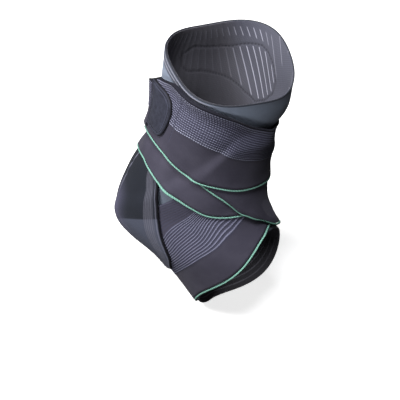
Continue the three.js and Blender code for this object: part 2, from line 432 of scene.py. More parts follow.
Colour = tuple[float, float, float]
Tint = Union[Colour, bpy.types.NodeSocket]


def tint(red: int, green: int, blue: int) -> Colour:
    """Turn a screen colour, 0 to 255, into the light that the shader works with."""

    def light(part: float) -> float:
        """Turn one part."""
        part /= 255
        return part / 12.92 if part <= 0.04045 else ((part + 0.055) / 1.055) ** 2.4

    return light(red), light(green), light(blue)


class Graph:
    """The nodes of one material."""

    def __init__(self, name: str) -> None:
        """Start a material with one surface shader.

        Args:
            name: The material's name.
        """
        self.material = bpy.data.materials.new(name)
        self.material.use_nodes = True
        self.tree = self.material.node_tree
        self.tree.nodes.clear()
        self.shader = self.node("ShaderNodeBsdfPrincipled", {}, {})
        self.node("ShaderNodeOutputMaterial", {}, {"Surface": self.shader.outputs[0]})

    def feed(self, socket: bpy.types.NodeSocket, value: Union["Tint", Signal, float]) -> None:
        """Link a value to a socket, or set it there."""
        if isinstance(value, Signal):
            value = value.socket
        if isinstance(value, bpy.types.NodeSocket):
            self.tree.links.new(value, socket)
        elif socket.type == "RGBA":
            socket.default_value = (*value, 1)
        else:
            socket.default_value = value

    def node(self, kind: str, settings: dict, values: dict) -> bpy.types.Node:
        """Add a node.

        Args:
            kind: The node's type.
            settings: Its properties, set first.
            values: What its sockets get, by name or number: a link or a plain value.

        Returns:
            The node.
        """
        made = self.tree.nodes.new(kind)
        for name, value in settings.items():
            setattr(made, name, value)
        for key, value in values.items():
            self.feed(made.inputs[key], value)
        return made

    def map(self, name: str) -> tuple[Signal, Signal]:
        """Read the two numbers of one of the mesh's coordinate maps.

        Args:
            name: The map's name.

        Returns:
            Its first and its second number.
        """
        made = self.node("ShaderNodeUVMap", {"uv_map": name}, {})
        parts = self.node("ShaderNodeSeparateXYZ", {}, {0: made.outputs[0]})
        return Signal(self, parts.outputs[0]), Signal(self, parts.outputs[1])

    def noise(self, scale: float, detail: float = 3.0, rough: float = 0.5) -> Signal:
        """Read a cloudy pattern in the object's own space, with a scale per metre.

        Args:
            scale: How fine it is.
            detail: How many finer layers it has.
            rough: How strong those are.

        Returns:
            The pattern, about 0 to 1.
        """
        where = self.node("ShaderNodeTexCoord", {}, {})
        values = {"Vector": where.outputs["Object"], "Scale": scale}
        values |= {"Detail": detail, "Roughness": rough}
        return Signal(self, self.node("ShaderNodeTexNoise", {}, values).outputs[0])

    def mix(self, share: Union[Signal, float], first: Tint, second: Tint) -> bpy.types.NodeSocket:
        """Mix two colours."""
        made = self.node("ShaderNodeMix", {"data_type": "RGBA"}, {0: share, 6: first, 7: second})
        return made.outputs[2]

    def scaled(self, colour: Tint, share: Signal) -> bpy.types.NodeSocket:
        """Make a colour darker or lighter by a number."""
        values = {0: colour, "Scale": share}
        return self.node("ShaderNodeVectorMath", {"operation": "SCALE"}, values).outputs[0]

    def bump(self, height: Signal, depth: float) -> bpy.types.NodeSocket:
        """Turn a height from 0 to 1 into a normal, with the depth in millimetres."""
        values = {"Strength": 1.0, "Distance": depth * MM, "Height": height}
        return self.node("ShaderNodeBump", {}, values).outputs[0]

    def finish(self, **values: Union[Tint, Signal, float]) -> bpy.types.Material:
        """Set the shader's sockets, named with _ for a space, and give the material.

        Args:
            values: What each socket gets.

        Returns:
            The material.
        """
        names = {s.name.lower().replace(" ", "_"): s for s in self.shader.inputs}
        for key, value in values.items():
            self.feed(names[key], value)
        return self.material

    def fabric(
        self,
        colour: Tint,
        roughness: Union[Signal, float],
        normal: bpy.types.NodeSocket,
        fuzz_rough: float = 0.4,
    ) -> bpy.types.Material:
        """Dress a cloth, with little shine and a faint fuzz.

        Args:
            colour: Its colour.
            roughness: Its roughness.
            normal: Its bumped normal.
            fuzz_rough: How rough the fuzz is.

        Returns:
            The material.
        """
        return self.finish(
            base_color=colour,
            roughness=roughness,
            normal=normal,
            specular_ior_level=0.2,
            sheen_weight=0.04,
            sheen_roughness=fuzz_rough,
        )


class Cloth:
    """Points and faces of one piece, with its weave and place maps, until it becomes a mesh."""

    def __init__(self) -> None:
        """Start with nothing."""
        self.points: list[Array] = []
        self.faces: list[list[int]] = []
        self.weave: list[Array] = []
        self.place: list[Array] = []
        self.count = 0

    def add_grid(
        self,
        points: Array,
        weave: Array,
        place: Optional[Array] = None,
        ring: bool = False,
        loop: bool = False,
    ) -> int:
        """Add rows of points with quads between them.

        Args:
            points: Rows, points in a row, and x, y, z.
            weave: The weave map there, one longer where a row or the rows close.
            place: The place map, or None where it is the weave map.
            ring: Whether each row closes on itself.
            loop: Whether the last row joins the first.

        Returns:
            The number of the first point.
        """
        n, m = points.shape[:2]
        first = self.count
        place = weave if place is None else place
        i = np.arange(n if loop else n - 1)[:, None]
        j = np.arange(m if ring else m - 1)[None, :]
        a = first + i * m + j
        b = first + i * m + (j + 1) % m
        c = first + (i + 1) % n * m + (j + 1) % m
        d = first + (i + 1) % n * m + j
        a, b, c, d = np.broadcast_arrays(a, b, c, d)
        self.faces += np.stack([a, b, c, d], axis=-1).reshape(-1, 4).tolist()
        for kept, chart in ((self.weave, weave), (self.place, place)):
            corners = [chart[i, j], chart[i, j + 1], chart[i + 1, j + 1], chart[i + 1, j]]
            kept.append(np.stack(corners, axis=2).reshape(-1, 2))
        self.points.append(points.reshape(-1, 3))
        self.count += n * m
        return first

    def add_cap(self, outer: Sequence[int], inner: Sequence[int], near: Array, flip: bool) -> None:
        """Close the slit between two chains of points with triangles.

        Args:
            outer: Point numbers of one chain.
            inner: Those of the other, from the same end.
            near: The map's value for the whole cap.
            flip: Whether the faces turn the other way.
        """
        i = j = 0
        while i < len(outer) - 1 or j < len(inner) - 1:
            ahead = (i + 1) / max(1, len(outer) - 1) <= (j + 1) / max(1, len(inner) - 1)
            if j == len(inner) - 1 or (ahead and i < len(outer) - 1):
                face = [outer[i], inner[j], outer[i + 1]]
                i += 1
            else:
                face = [outer[i], inner[j], inner[j + 1]]
                j += 1
            if len(set(face)) == 3:
                self.faces.append(face[::-1] if flip else face)
                self.weave.append(np.tile(near, (3, 1)))
                self.place.append(np.tile(near, (3, 1)))

    def close_ends(
        self, first: int, shape: tuple[int, int], wide: int, near: Array, shared: bool = True
    ) -> None:
        """Close both ends of a band whose rows run over its face and back under it.

        Args:
            first: The number of its first point.
            shape: Its rows, and the points in a row.
            wide: How many points of a row lie on the face.
            near: The map's value for the caps.
            shared: Whether the underside ends in the face's own border points.
        """
        rows, count = shape
        for row, flip in ((0, False), (rows - 1, True)):
            begin = first + row * count
            under = list(range(begin + count - 1, begin + wide - 1, -1))
            if shared:
                under = [begin, *under, begin + wide - 1]
            self.add_cap(list(range(begin, begin + wide)), under, near, flip)

    def add_fan(
        self, rim: Sequence[int], middle: Array, weave: Array, place: Array, flip: bool
    ) -> None:
        """Close a hole with triangles to one middle point.

        Args:
            rim: Point numbers round the hole.
            middle: The middle point.
            weave: The weave map there.
            place: The place map there.
            flip: Whether the faces turn the other way.
        """
        centre = self.count
        self.points.append(middle[None, :])
        self.count += 1
        for near, ahead in zip(rim, [*rim[1:], rim[0]]):
            face = [near, ahead, centre]
            self.faces.append(face[::-1] if flip else face)
            self.weave.append(np.tile(weave, (3, 1)))
            self.place.append(np.tile(place, (3, 1)))

    def piece(self, name: str, material: bpy.types.Material) -> bpy.types.Object:
        """Make the mesh object, with its faces outward.

        Args:
            name: The object's name.
            material: Its finish.

        Returns:
            The object, linked to the scene.
        """
        points = np.concatenate(self.points)
        faces = self.faces
        weave, place = np.concatenate(self.weave), np.concatenate(self.place)
        corners = np.array([f[:3] for f in faces] + [[f[0], *f[2:]] for f in faces if len(f) > 3])
        a, b, c = (points[corners[:, k]] for k in range(3))
        if (a * np.cross(b, c)).sum() < 0:
            faces = [f[::-1] for f in faces]
            sizes = np.array([len(f) for f in faces])
            ends = np.cumsum(sizes)
            order = np.repeat(ends + ends - sizes - 1, sizes) - np.arange(sizes.sum())
            weave, place = weave[order], place[order]
        mesh = bpy.data.meshes.new(name)
        mesh.from_pydata((points * MM).tolist(), [], faces)
        for title, chart in (("weave", weave), ("place", place)):
            layer = mesh.uv_layers.new(name=title)
            layer.data.foreach_set("uv", chart.astype(np.float32).ravel())
        mesh.shade_smooth()
        mesh.materials.append(material)
        made = bpy.data.objects.new(name, mesh)
        bpy.context.scene.collection.objects.link(made)
        return made


class Wall(Enum):
    """The two layers of the sleeve."""

    SHELL = "sleeve_shell"
    LINING = "knit_lining"


@dataclass(frozen=True)
class ShellFinish:
    """Smooth stretch fabric, dark blue grey, with painted highlights on its welts by the rolled rim
    and a painted shadow band round them.

    Light and shade are painted into its colour: it is painted lightest at the collar, to the length
    where fades begins, and between the two places of lit_side, in millimetres round the leg, and
    painted darker elsewhere.
    """

    welts: tuple[float, float]
    cloth: Colour = tint(112, 121, 137)
    shade: Colour = tint(101, 108, 122)
    rim: Colour = tint(46, 48, 56)
    # Painted highlight on the welts.
    welt_highlight: Colour = tint(150, 150, 164)
    # This colour and the length after it paint a shadow band round the welts.
    gap: Colour = tint(44, 44, 54)
    gap_end: float = 11.0
    # Painted light: the brightness at the collar and further down, then on and off the lit side.
    top_light: float = 1.9
    low_light: float = 0.7
    fades: tuple[float, float] = (25, 60)
    lit_side: tuple[float, float] = (18, 150)
    knit_size: float = 0.9

    def material(self) -> bpy.types.Material:
        """Make the material.

        Returns:
            The material.
        """
        g = Graph("shell_fabric")
        x, y = g.map("weave")
        rim, side = g.map("place")
        fine, wide = ((y - length).size() for length in self.welts)
        welt_highlight = fine.rising(0.9, 0.4).most(wide.rising(1.2, 0.6))
        knit = (x + y).wave(self.knit_size) * (x - y).wave(self.knit_size)
        cloud = g.noise(38, 4).rising(0.3, 0.7)
        # Painted light and shade: lightest at the collar and on the lit side, darker further down
        # and round the rest of the leg.
        light = self.top_light - (self.top_light - self.low_light) * y.rising(*self.fades)
        light = light * (0.5 + 0.5 * x.band(*self.lit_side, 16))
        colour = g.mix(cloud, self.cloth, self.shade)
        colour = g.scaled(colour, (0.9 + 0.16 * knit) * light)
        # Painted shadow band round the welts, near the collar on the welt side.
        colour = g.mix(side * y.band(-2, self.gap_end, 1.5) * 0.75, colour, self.gap)
        colour = g.mix(rim, colour, self.rim)
        # Painted highlights on the welts, on the welt side.
        colour = g.mix(side * welt_highlight * 0.85, colour, self.welt_highlight)
        return g.fabric(colour, 0.5 + 0.12 * cloud, g.bump(knit + 0.7 * cloud, 0.05))


@dataclass(frozen=True)
class LiningFinish:
    """Dark knit with light yarns that show as lines inside a stitched ring, with light and shade
    painted round the leg and painted shade deep in the sleeve.

    The place map has the degrees round the knit's own line, and how far inside the ring a place
    is. Past the ring, towards the foot, it counts on from the foot rim.
    """

    lines: int
    cloth: Colour = tint(80, 81, 93)
    # This tone and cloth paint the interior's light and shade round the leg.
    deep: Colour = tint(94, 93, 101)
    yarn: Colour = tint(172, 172, 188)
    thread: Colour = tint(40, 40, 47)
    front: tuple[float, float] = (222, 246)
    dash_span: tuple[float, float] = (4.0, 10.5)
    dash_end: tuple[float, float] = (262, 270)
    side_start: tuple[float, float] = (266, 270)
    foot_span: tuple[float, float] = (-325, -303)
    foot_pitch: float = 3.6
    # Painted shade deep in the sleeve, over these lengths from the collar.
    painted_shade_span: tuple[float, float] = (140, 165)
    stitch_pitch: float = 2.3

    def material(self) -> bpy.types.Material:
        """Make the material.

        Returns:
            The material.
        """
        g = Graph("lining_knit")
        turned, ring = g.map("place")
        x, y = g.map("weave")
        knit = x.wave(1.1) * (y + x).wave(1.4)
        cloud = g.noise(30, 4).rising(0.25, 0.75)
        # Painted light and shade: toes shifts the base tone round the leg and fades the light lines
        # and the stitching towards its low end.
        toes = turned.rising(*self.front)
        line = turned.wave(360 / self.lines, 0.25).rising(0.9, 1.0)
        inside = ring.rising(1.2, 2.0)
        outside = 1 - ring.rising(-2.0, -1.2)
        dashes = y.band(*self.dash_span, 0.7) * outside * (1 - turned.rising(*self.dash_end))
        every_other = turned.wave(720 / self.lines, 0.375).rising(0.3, 0.7)
        side = turned.rising(*self.side_start) * outside * every_other
        side = side * (y + turned * 0.9).wave(27.0).rising(0.2, 0.45)
        foot = ring.wave(self.foot_pitch).rising(0.75, 1.0) * (0.1 + 0.3 * cloud)
        foot = foot * ring.band(*self.foot_span, 3)
        shown = (inside * (0.12 + 0.88 * toes)).most(dashes * (0.25 + 0.55 * toes))
        light = (line * shown.most(side * 0.45)).most(foot)
        colour = g.mix(toes * (0.8 + 0.2 * cloud), self.deep, self.cloth)
        # Painted shade: the knit darkens deep in the sleeve, towards the foot.
        colour = g.scaled(colour, (0.84 + 0.3 * knit) * (1 - 0.62 * y.rising(*self.painted_shade_span)))
        stitch = x.wave(self.stitch_pitch).rising(0.2, 0.6)
        stitch = ring.band(-0.7, 0.7, 0.3) * (0.35 + 0.65 * stitch)
        colour = g.mix(stitch * (0.35 + 0.25 * toes), colour, self.thread)
        colour = g.mix(light * 0.85, colour, self.yarn)
        return g.fabric(colour, 0.88, g.bump(knit * 0.5 + light, 0.1), 0.5)


@dataclass(frozen=True)
class PanelFinish:
    """Smooth dense fabric, near black grey, with a black hem, a heel cup below its seam painted
    lighter as if lit from below, and a painted lilac highlight low round the heel.

    The place map has the distance from the hem's edge, and heel_line is the middle of the heel
    in the weave map. The cup starts at a length that falls by cup_lean away from that line.
    """

    seam_out: float
    ribbed: tuple[float, float]
    rib_pitch: float
    cloth: Colour = tint(33, 36, 45)
    shade: Colour = tint(29, 32, 40)
    # Painted light: the heel cup's colour, lighter as if lit from below.
    cup: Colour = tint(78, 82, 98)
    # Painted lilac highlight low round the heel.
    glow: Colour = tint(100, 98, 124)
    hem: Colour = tint(14, 14, 21)
    line: Colour = tint(116, 116, 134)
    rib: Colour = tint(92, 92, 104)
    heel_line: float = 124.1
    cup_start: tuple[float, float] = (167.6, 168.8)
    cup_lean: float = 0.96
    glow_out: tuple[float, float] = (21, 36)
    glow_span: tuple[float, float] = (118, 146)
    hem_line: tuple[float, float] = (1.3, 1.9)
    hem_end: tuple[float, float] = (0.75, 1.0)
    knit_size: float = 0.8

    def material(self) -> bpy.types.Material:
        """Make the material.

        Returns:
            The material.
        """
        g = Graph("panel_fabric")
        past, _ = g.map("place")
        x, y = g.map("weave")
        knit = (x + y).wave(self.knit_size) * (x - y).wave(self.knit_size)
        cloud = g.noise(45, 4).rising(0.3, 0.7)
        back = (x - self.heel_line).size()
        # The heel cup below its seam, painted lighter as if lit from below.
        cup = (y + back * self.cup_lean).rising(*self.cup_start)
        colour = g.mix(cloud, self.cloth, self.shade)
        colour = g.mix(cup * 0.65, colour, self.cup)
        # Painted lilac highlight low round the heel, on both sides of the heel line.
        glow = back.band(*self.glow_out, 9) * y.band(*self.glow_span, 14)
        colour = g.mix(glow * (0.5 + 0.2 * cloud), colour, self.glow)
        # A light line along the back seam: the seam, with its sheen painted in as a highlight.
        seam = back.band(self.seam_out - 0.5, self.seam_out + 0.5, 0.3)
        colour = g.mix(seam * 0.8, colour, self.line)
        ribs = past.band(*self.ribbed, 0.4) * (0.25 + 0.75 * past.wave(self.rib_pitch))
        colour = g.mix(ribs * 0.8, colour, self.rib)
        colour = g.scaled(colour, 0.9 + 0.16 * knit)
        colour = g.mix(past.band(*self.hem_line, 0.15) * 0.4, colour, self.line)
        colour = g.mix(1 - past.rising(*self.hem_end), colour, self.hem)
        return g.fabric(colour, 0.6 + 0.1 * cloud, g.bump(knit + 0.5 * cloud, 0.05))


@dataclass(frozen=True)
class StrapFinish:
    """Elastic webbing: a plain half, then ribs with light floats, then fine ribs.

    The weave map has the length along the strap and its strap units across, the place map the
    hundreds of degrees wound. The ribs change their look where the strap is wound past late,
    and are calmer between hidden_start and hidden_end. The cross seam leans.
    """

    ribs: int
    fine_ribs: int
    plain: Colour = tint(64, 62, 75)
    shade: Colour = tint(56, 54, 67)
    groove: Colour = tint(56, 56, 72)
    yarn: Colour = tint(128, 129, 152)
    bright: Colour = tint(152, 154, 174)
    dark: Colour = tint(28, 28, 38)
    late: tuple[float, float] = (6.0, 9.0)
    hidden_start: tuple[float, float] = (12.5, 13.05)
    hidden_end: tuple[float, float] = (14.0, 14.4)
    dash_pitch: float = 1.25
    seam_at: float = 1201.4
    seam_lean: float = 3.8

    def material(self) -> bpy.types.Material:
        """Make the material.

        Returns:
            The material.
        """
        g = Graph("strap_webbing")
        run, unit = g.map("weave")
        turned, _ = g.map("place")
        cloud = g.noise(60, 4).rising(0.3, 0.7)
        fine = run.wave(0.75) * (unit * 36).wave(1.0)
        colour = g.mix(cloud, self.plain, self.shade)
        colour = g.scaled(colour, 0.9 + 0.18 * fine)
        zone = unit.band(1.0, 2.0, 0.01)
        ridge = ((unit - 1) * self.ribs).wave(1.0)
        late = turned.rising(*self.late)
        dash = run.wave(self.dash_pitch).rising(0.05, 0.55)
        hidden = turned.rising(*self.hidden_start) * (1 - turned.rising(*self.hidden_end))
        yarn = ridge.rising(0.5, 0.95) * (1 - (0.2 + 0.8 * late) * (1 - dash) * (1 - hidden))
        strong = (0.5 + 0.3 * late + 0.2 * cloud) * (1 - 0.8 * hidden)
        border = (unit - 1.5).size().rising(0.33, 0.46)
        thread = g.mix(border * late, self.yarn, self.bright)
        colour = g.mix(zone, colour, g.mix(yarn * strong, self.groove, thread))
        margin = unit.rising(2.0, 2.02)
        lines = ((unit - 2) * self.fine_ribs).wave(1.0)
        fine_cloth = g.mix(lines * (1 - late), self.groove, self.shade)
        fine_cloth = g.mix(late, fine_cloth, self.dark)
        colour = g.mix(margin, colour, fine_cloth)
        seam = (turned * 100 - unit * self.seam_lean - self.seam_at).band(-0.7, 0.7, 0.25)
        seam = seam * unit.band(0.5, 2.0, 0.05) * (unit * 9).wave(1.0).rising(0.05, 0.3)
        colour = g.mix(seam * 0.85, colour, self.groove)
        height = zone * yarn + margin * lines * 0.4 + (1 - zone) * fine * 0.25 - seam
        return g.fabric(colour, 0.8, g.bump(height + 0.2 * cloud, 0.14), 0.45)


@dataclass(frozen=True)
class EdgeFinish:
    """Mint edge of the strap, with painted shade in dark green on its lower side."""

    light: Colour = tint(122, 166, 153)
    soft: Colour = tint(100, 146, 132)
    # Painted shade on the lower side of the cord.
    shade: Colour = tint(20, 66, 50)
    lit: tuple[float, float] = (0.16, 0.5)
    twist_pitch: float = 1.6

    def material(self) -> bpy.types.Material:
        """Make the material.

        Returns:
            The material.
        """
        g = Graph("strap_edge_yarn")
        run, around = g.map("weave")
        twist = run.wave(self.twist_pitch, around)
        colour = g.mix(twist, self.soft, self.light)
        # Painted shade: dark green outside the lit band, on the lower side and underside.
        colour = g.mix(around.band(*self.lit, 0.05), self.shade, colour)
        return g.fabric(colour, 0.7, g.bump(twist, 0.04))


@dataclass(frozen=True)
class TabFinish:
    """Soft brushed face of the closing tab, with a stitched ring."""

    cloth: Colour = tint(52, 54, 67)
    shade: Colour = tint(38, 39, 50)
    thread: Colour = tint(16, 16, 23)
    light: Colour = tint(66, 68, 84)
    stitch_in: tuple[float, float] = (2.2, 2.9)
    stitch_pitch: float = 1.9
    ridge_in: tuple[float, float] = (3.0, 3.5)
    border: tuple[float, float] = (0.1, 0.6)

    def material(self) -> bpy.types.Material:
        """Make the material.

        Returns:
            The material.
        """
        g = Graph("tab_face")
        inset, run = g.map("place")
        x, y = g.map("weave")
        cloud = g.noise(260, 6, 0.7).rising(0.32, 0.68)
        grain = x.wave(0.8) * y.wave(0.8)
        colour = g.mix(cloud, self.cloth, self.shade)
        colour = g.scaled(colour, 0.92 + 0.14 * grain)
        stitch = inset.band(*self.stitch_in, 0.2) * run.wave(self.stitch_pitch).rising(0.1, 0.4)
        colour = g.mix(stitch * 0.8, colour, self.thread)
        colour = g.mix(inset.band(*self.ridge_in, 0.2) * 0.6, colour, self.light)
        colour = g.mix(1 - inset.rising(*self.border), colour, self.thread)
        return g.fabric(colour, 0.7, g.bump(cloud * 0.6 + grain * 0.5 - stitch, 0.08))


@dataclass
class Sleeve:
    """The smooth shell of the sleeve and its knit lining, with a rolled rim at both openings."""

    form: AnkleForm
    shell_wall: float = 0.6
    lining_wall: float = 0.5
    layer_gap: float = 0.1
    roll: float = 0.45
    rim_over: float = 0.7
    rim_short: float = 0.4
    welts_at: tuple[float, float] = (1.4, 6.9)
    welt_highlight_halves: tuple[float, float] = (0.9, 1.2)
    welt_highlight_rise: float = 0.5
    columns: int = 360
    rows: int = 200
    lines: int = 64
    line_rise: float = 0.14
    knit_centre: tuple[float, float, float] = (12.0, -8.0, 100.0)
    knit_run: tuple[float, float, float] = (0.85, -0.29, -1.0)
    ring_drop: float = 50.0
    ring_scale: float = 0.62
    foot_start: float = 150.0
    ring: Rows = (
        (200, 0.3), (221, 0.35), (240, 0.38), (256, 0.31), (269, 0.27), (280, 0.3),
        (292, 0.37), (303, 0.48), (305, 0.64), (299, 0.83), (286, 1.0), (268, 0.98),
        (255, 0.9), (242, 0.82), (228, 0.75), (214, 0.69), (197, 0.67), (189, 0.58),
        (188, 0.4),
    )  # fmt: skip

    def shell(self) -> bpy.types.Object:
        """Make the shell: its outer face, a rolled rim at each end and its inner face.

        Returns:
            The shell.
        """
        angle = np.arange(self.columns)[:, None] * 360 / self.columns
        whole = self.form.total(angle) - self.rim_short
        start = self.roll - self.rim_over
        span = np.linspace(0, 1, self.rows)[None, :] ** 1.2
        outer = start + (whole - self.roll - start) * span
        turn = np.linspace(math.pi / 2, -math.pi / 2, 9)[1:-1][None, :]
        foot = whole - self.roll + self.roll * np.cos(turn)
        collar = start - self.roll * np.cos(turn) + 0 * whole
        back = np.linspace(0, 1, 24)[None, :]
        inner_foot, inner_collar = whole - 2.2 * self.roll, np.full_like(whole, start + self.roll)
        inner = inner_foot + (inner_collar - inner_foot) * back
        lengths = np.concatenate([outer, foot, inner, collar[:, ::-1]], axis=1)
        around = self.roll * np.sin(turn) - self.roll
        welts = self.welts(angle, outer)
        heights = np.concatenate(
            [
                self.welt_highlight_rise * welts,
                np.broadcast_to(around, foot.shape),
                np.full_like(inner, -self.shell_wall),
                np.broadcast_to(around[:, ::-1], collar.shape),
            ],
            axis=1,
        )
        rims = np.ones_like(lengths)
        rims[:, : self.rows] = 1 - ease((outer - start) / 0.7)
        bands = self.side(angle) + 0 * lengths
        cloth = Cloth()
        points = self.form.place(angle, lengths, heights)
        chart = self.closed(np.stack([rims, bands], axis=-1))
        cloth.add_grid(points, self.weave(lengths), chart, ring=True, loop=True)
        return cloth.piece(Wall.SHELL.value, ShellFinish(self.welts_at).material())

    def welts(self, angle: Array, length: Array) -> Array:
        """Place two shallow welts along the collar, on the outer side towards the heel."""
        ridges = [hump(length, at, half) for at, half in zip(self.welts_at, self.welt_highlight_halves)]
        return self.side(angle) * np.maximum(*ridges)

    def side(self, angle: Array) -> Array:
        """Find how far an angle belongs to the side with the welts."""
        return ease((np.cos((angle - 125) * RAD) - 0.35) / 0.4)

    def closed(self, values: Array) -> Array:
        """Repeat the first row and the first place of each row at the end."""
        values = np.concatenate([values, values[:1]], axis=0)
        return np.concatenate([values, values[:, :1]], axis=1)

    def weave(self, lengths: Array) -> Array:
        """Give the weave map: millimetres round the leg and along it.

        Args:
            lengths: Rows of lengths from the collar.

        Returns:
            The map, closed both ways.
        """
        along_mm = self.closed(lengths)
        turned = np.arange(len(along_mm))[:, None] * 360 / self.columns + 0 * along_mm
        return np.stack([turned * 0.69, along_mm], axis=-1)

    def knit_turn(self, points: Array) -> Array:
        """Measure the degrees round the line that the knit follows down the leg.

        Args:
            points: Rows of points round the leg.

        Returns:
            The degrees, without a jump from row to row, with one row more that closes them.
        """
        run = np.array(self.knit_run) / np.linalg.norm(self.knit_run)
        side = np.cross(run, (0.0, 1.0, 0.0))
        side /= np.linalg.norm(side)
        offset = np.concatenate([points, points[:1]], axis=0) - self.knit_centre
        turned = np.arctan2(offset @ np.cross(run, side), offset @ side)
        turned = np.degrees(np.unwrap(np.unwrap(turned, axis=0), axis=1))
        middle = turned[len(turned) * 7 // 10, 10]
        return turned + 360 * np.round((236 - middle) / 360)

    def ring_depth(self, angle: Array, length: Array) -> Array:
        """Measure how far inside the stitched ring a place is, below 0 outside it.

        Args:
            angle: Degrees round the leg.
            length: Length from the collar.

        Returns:
            The depths, in millimetres.
        """
        x, y = np.broadcast_arrays(angle * self.ring_scale, length)
        corners = np.array(self.ring) * (self.ring_scale, self.ring_drop)
        nearest, within = np.full(x.shape, 1e3), np.zeros(x.shape, bool)
        for (x0, y0), (x1, y1) in zip(corners, np.roll(corners, -1, axis=0)):
            share = ((x - x0) * (x1 - x0) + (y - y0) * (y1 - y0)) / ((x1 - x0) ** 2 + (y1 - y0) ** 2)
            share = np.clip(share, 0, 1)
            away = np.hypot(x - x0 - share * (x1 - x0), y - y0 - share * (y1 - y0))
            nearest = np.minimum(nearest, away)
            if y0 != y1:
                crossed = ((y0 > y) != (y1 > y)) & (x < x0 + (y - y0) / (y1 - y0) * (x1 - x0))
                within ^= crossed
        return np.where(within, nearest, -nearest)

    def lining(self) -> bpy.types.Object:
        """Make the lining: its ribbed inner face, with a stitched ring, and a plain outer face.

        Returns:
            The lining.
        """
        angle = np.arange(self.columns)[:, None] * 360 / self.columns
        whole = self.form.total(angle)
        start, end = 1.2 * self.roll - self.rim_over, whole - self.roll
        inner = start + (end - start) * np.linspace(0, 1, self.rows)[None, :] ** 1.25
        outer = end + (start - end) * np.linspace(0, 1, 24)[None, :]
        lengths = np.concatenate([inner, outer], axis=1)
        top = -self.shell_wall - self.layer_gap
        depth = self.ring_depth(angle, lengths)
        depth = np.where(lengths > self.foot_start, lengths - whole - 2 * self.foot_start, depth)
        turned = self.knit_turn(self.form.place(angle, lengths, top + 0 * lengths))
        lines = 0.5 - 0.5 * np.cos((turned[:-1] / 360 * self.lines + 0.25) * 2 * math.pi)
        relief = self.line_rise * lines - 0.25 * hump(depth, 0, 0.9)
        relief = np.where(lengths > self.foot_start, 0, relief)
        relief[:, self.rows :] = 0
        level = np.full_like(lengths, top)
        level[:, : self.rows] -= self.lining_wall
        cloth = Cloth()
        points = self.form.place(angle, lengths, level - relief)
        turned = np.concatenate([turned, turned[:, :1]], axis=1)
        chart = np.stack([turned, self.closed(depth)], axis=-1)
        cloth.add_grid(points, self.weave(lengths), chart, ring=True, loop=True)
        return cloth.piece(Wall.LINING.value, LiningFinish(self.lines).material())


